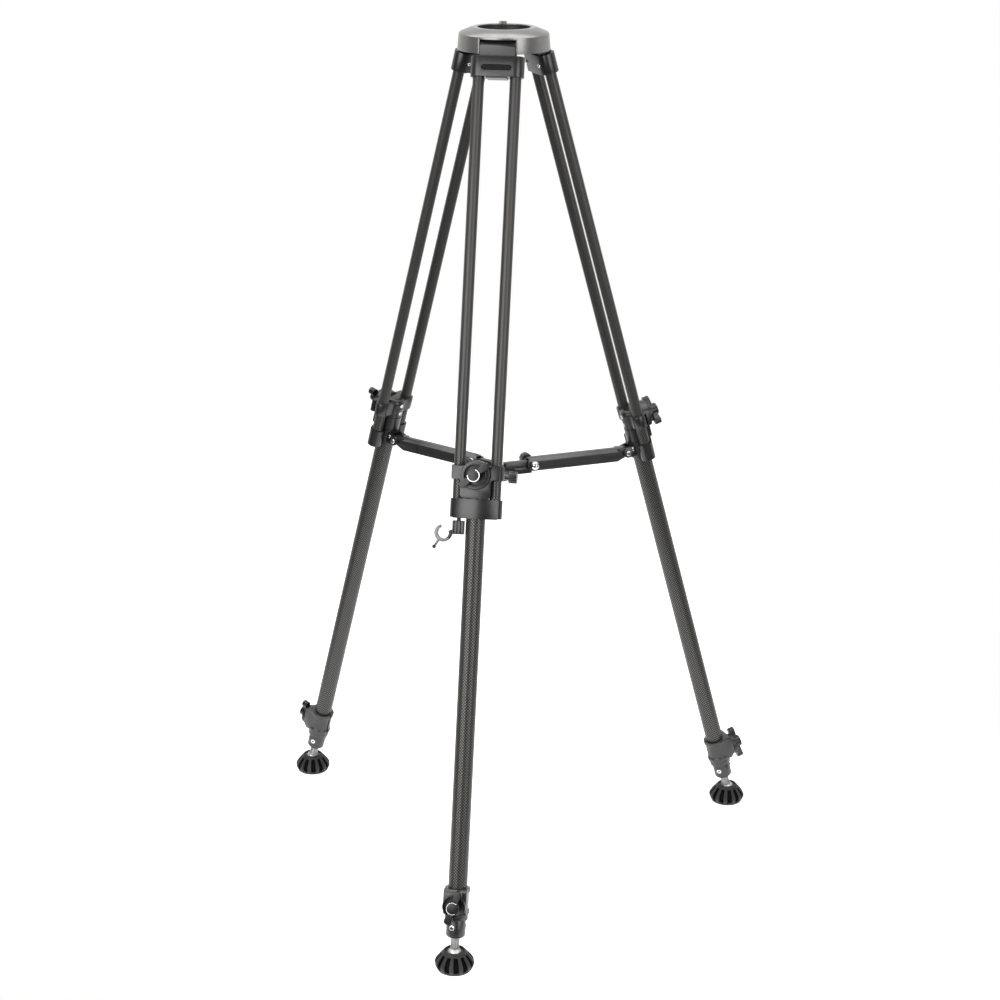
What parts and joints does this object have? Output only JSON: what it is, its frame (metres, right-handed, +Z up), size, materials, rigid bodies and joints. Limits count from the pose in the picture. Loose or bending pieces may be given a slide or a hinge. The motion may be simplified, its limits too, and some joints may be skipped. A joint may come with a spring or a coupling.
{
  "type": "camera tripod with a 75 mm bowl and mid-level spreader",
  "caption": "Video camera tripod with a 75 mm bowl, twin-tube carbon legs that telescope, a folding mid-level spreader, wing-knob clamps and tilting rubber feet.",
  "frame": {"origin": "on the floor, under the middle of the tripod's box", "axes": "+Z up along the tripod's axis, -Y towards the front leg, +X to the right as seen from the front leg"},
  "size_m": [0.7508, 0.6578, 1.2642],
  "materials": {
    "cast_silver": "satin cast",
    "black_cast": "satin black",
    "carbon": "satin carbon weave",
    "arm_grey": "satin dark grey",
    "steel": "bright",
    "zinc": "plated",
    "rubber": "matt",
    "clip_grey": "satin"
  },
  "bodies": {
    "crown": {"crown": "cast_silver", "bowl_seat": "black_cast", "front_hinge_pin": "steel", "right_hinge_pin": "steel", "left_hinge_pin": "steel"},
    "hub": {"hub": "black_cast"},
    "clip": {"clip_block": "black_cast", "leg_clip": "clip_grey"},
    "front_leg": {"front_yoke": "black_cast", "front_upper_tube_left": "carbon", "front_upper_tube_right": "carbon", "front_collar": "black_cast", "front_arm_pin": "steel"},
    "front_mid": {"front_slider": "black_cast", "front_mid_tube": "carbon", "front_low_clamp": "black_cast"},
    "front_mid_knob": {"front_mid_knob": "black_cast"},
    "front_low_knob": {"front_low_knob": "black_cast"},
    "front_foot": {"front_inner_tube": "carbon", "front_foot_plug": "black_cast", "front_foot_stud": "zinc"},
    "front_cup": {"front_foot_cup": "steel"},
    "front_pad": {"front_foot_pad": "rubber"},
    "front_arm": {"front_arm": "arm_grey"},
    "front_bolt": {"front_arm_bolt": "black_cast"},
    "right_leg": {"right_yoke": "black_cast", "right_upper_tube_left": "carbon", "right_upper_tube_right": "carbon", "right_collar": "black_cast", "right_arm_pin": "steel"},
    "right_mid": {"right_slider": "black_cast", "right_mid_tube": "carbon", "right_low_clamp": "black_cast"},
    "right_mid_knob": {"right_mid_knob": "black_cast"},
    "right_low_knob": {"right_low_knob": "black_cast"},
    "right_foot": {"right_inner_tube": "carbon", "right_foot_plug": "black_cast", "right_foot_stud": "zinc"},
    "right_cup": {"right_foot_cup": "steel"},
    "right_pad": {"right_foot_pad": "rubber"},
    "right_arm": {"right_arm": "arm_grey"},
    "right_bolt": {"right_arm_bolt": "black_cast"},
    "left_leg": {"left_yoke": "black_cast", "left_upper_tube_left": "carbon", "left_upper_tube_right": "carbon", "left_collar": "black_cast", "left_arm_pin": "steel"},
    "left_mid": {"left_slider": "black_cast", "left_mid_tube": "carbon", "left_low_clamp": "black_cast"},
    "left_mid_knob": {"left_mid_knob": "black_cast"},
    "left_low_knob": {"left_low_knob": "black_cast"},
    "left_foot": {"left_inner_tube": "carbon", "left_foot_plug": "black_cast", "left_foot_stud": "zinc"},
    "left_cup": {"left_foot_cup": "steel"},
    "left_pad": {"left_foot_pad": "rubber"},
    "left_arm": {"left_arm": "arm_grey"},
    "left_bolt": {"left_arm_bolt": "black_cast"}
  },
  "joints": [
    {"name": "front_splay", "type": "hinge", "parent": "crown", "child": "front_leg", "pos_m": [0, 0.05196, 1.23949], "axis": [-1, 0, 0], "range_deg": [-12.77, 0]},
    {"name": "right_splay", "type": "hinge", "parent": "crown", "child": "right_leg", "pos_m": [0.04183, 0.12441, 1.23949], "axis": [0.5, -0.866, 0], "range_deg": [-12.77, 0]},
    {"name": "left_splay", "type": "hinge", "parent": "crown", "child": "left_leg", "pos_m": [-0.04183, 0.12441, 1.23949], "axis": [0.5, 0.866, 0], "range_deg": [-12.77, 0]},
    {"name": "hub_rise", "type": "slide", "parent": "crown", "child": "hub", "axis": [0, 0, 1], "range_m": [0, 0.13705]},
    {"name": "clip_swivel", "type": "hinge", "parent": "front_leg", "child": "clip", "pos_m": [-0.023, -0.13401, 0.61248], "axis": [0, 0.2785, 0.9604], "range_deg": [-75, 75]},
    {"name": "front_mid_slide", "type": "slide", "parent": "front_leg", "child": "front_mid", "axis": [0, 0.2785, 0.9604], "range_m": [0, 0.44]},
    {"name": "front_mid_knob_turn", "type": "hinge", "parent": "front_mid", "child": "front_mid_knob", "pos_m": [0, -0.13575, 0.6765], "axis": [0, -0.9604, 0.2785], "range_deg": [0, 270]},
    {"name": "front_low_knob_turn", "type": "hinge", "parent": "front_mid", "child": "front_low_knob", "pos_m": [0, -0.3034, 0.09831], "axis": [0, -0.9604, 0.2785], "range_deg": [0, 270]},
    {"name": "front_foot_slide", "type": "slide", "parent": "front_mid", "child": "front_foot", "axis": [0, -0.2785, -0.9604], "range_m": [0, 0.36]},
    {"name": "front_cup_tilt", "type": "hinge", "parent": "front_foot", "child": "front_cup", "pos_m": [0, -0.30078, 0.023], "axis": [1, 0, 0], "range_deg": [-32, 5]},
    {"name": "front_pad_roll", "type": "hinge", "parent": "front_cup", "child": "front_pad", "pos_m": [0, -0.30078, 0.023], "axis": [0, -1, 0], "range_deg": [-15, 15]},
    {"name": "front_arm_fold", "type": "hinge", "parent": "front_leg", "child": "front_arm", "pos_m": [0, -0.10311, 0.61851], "axis": [1, 0, 0], "range_deg": [0, 73.8]},
    {"name": "front_bolt_turn", "type": "hinge", "parent": "front_arm", "child": "front_bolt", "pos_m": [0, 0.05026, 0.61551], "axis": [1, 0, 0], "range_deg": [0, 270]},
    {"name": "right_mid_slide", "type": "slide", "parent": "right_leg", "child": "right_mid", "axis": [-0.2412, -0.1392, 0.9604], "range_m": [0, 0.44]},
    {"name": "right_mid_knob_turn", "type": "hinge", "parent": "right_mid", "child": "right_mid_knob", "pos_m": [0.20439, 0.21826, 0.6765], "axis": [0.8318, 0.4802, 0.2785], "range_deg": [0, 270]},
    {"name": "right_low_knob_turn", "type": "hinge", "parent": "right_mid", "child": "right_low_knob", "pos_m": [0.34958, 0.30209, 0.09831], "axis": [0.8318, 0.4802, 0.2785], "range_deg": [0, 270]},
    {"name": "right_foot_slide", "type": "slide", "parent": "right_mid", "child": "right_foot", "axis": [0.2412, 0.1392, -0.9604], "range_m": [0, 0.36]},
    {"name": "right_cup_tilt", "type": "hinge", "parent": "right_foot", "child": "right_cup", "pos_m": [0.3473, 0.30078, 0.023], "axis": [-0.5, 0.866, 0], "range_deg": [-32, 5]},
    {"name": "right_pad_roll", "type": "hinge", "parent": "right_cup", "child": "right_pad", "pos_m": [0.3473, 0.30078, 0.023], "axis": [0.866, 0.5, 0], "range_deg": [-15, 15]},
    {"name": "right_arm_fold", "type": "hinge", "parent": "right_leg", "child": "right_arm", "pos_m": [0.17612, 0.20194, 0.61851], "axis": [-0.5, 0.866, 0], "range_deg": [0, 73.8]},
    {"name": "right_bolt_turn", "type": "hinge", "parent": "right_arm", "child": "right_bolt", "pos_m": [0.0433, 0.12526, 0.61551], "axis": [-0.5, 0.866, 0], "range_deg": [0, 270]},
    {"name": "left_mid_slide", "type": "slide", "parent": "left_leg", "child": "left_mid", "axis": [0.2412, -0.1392, 0.9604], "range_m": [0, 0.44]},
    {"name": "left_mid_knob_turn", "type": "hinge", "parent": "left_mid", "child": "left_mid_knob", "pos_m": [-0.20439, 0.21826, 0.6765], "axis": [-0.8318, 0.4802, 0.2785], "range_deg": [0, 270]},
    {"name": "left_low_knob_turn", "type": "hinge", "parent": "left_mid", "child": "left_low_knob", "pos_m": [-0.34958, 0.30209, 0.09831], "axis": [-0.8318, 0.4802, 0.2785], "range_deg": [0, 270]},
    {"name": "left_foot_slide", "type": "slide", "parent": "left_mid", "child": "left_foot", "axis": [-0.2412, 0.1392, -0.9604], "range_m": [0, 0.36]},
    {"name": "left_cup_tilt", "type": "hinge", "parent": "left_foot", "child": "left_cup", "pos_m": [-0.3473, 0.30078, 0.023], "axis": [-0.5, -0.866, 0], "range_deg": [-32, 5]},
    {"name": "left_pad_roll", "type": "hinge", "parent": "left_cup", "child": "left_pad", "pos_m": [-0.3473, 0.30078, 0.023], "axis": [-0.866, 0.5, 0], "range_deg": [-15, 15]},
    {"name": "left_arm_fold", "type": "hinge", "parent": "left_leg", "child": "left_arm", "pos_m": [-0.17612, 0.20194, 0.61851], "axis": [-0.5, -0.866, 0], "range_deg": [0, 73.8]},
    {"name": "left_bolt_turn", "type": "hinge", "parent": "left_arm", "child": "left_bolt", "pos_m": [-0.0433, 0.12526, 0.61551], "axis": [-0.5, -0.866, 0], "range_deg": [0, 270]}
  ],
  "couplings": [
    {"joint": "right_splay", "follows": "front_splay", "ratio": 1},
    {"joint": "left_splay", "follows": "front_splay", "ratio": 1},
    {"joint": "front_arm_fold", "follows": "front_splay", "ratio": -5.776},
    {"joint": "right_arm_fold", "follows": "front_splay", "ratio": -5.776},
    {"joint": "left_arm_fold", "follows": "front_splay", "ratio": -5.776},
    {"joint": "hub_rise", "follows": "front_splay", "m_per_rad": -0.6146}
  ]
}
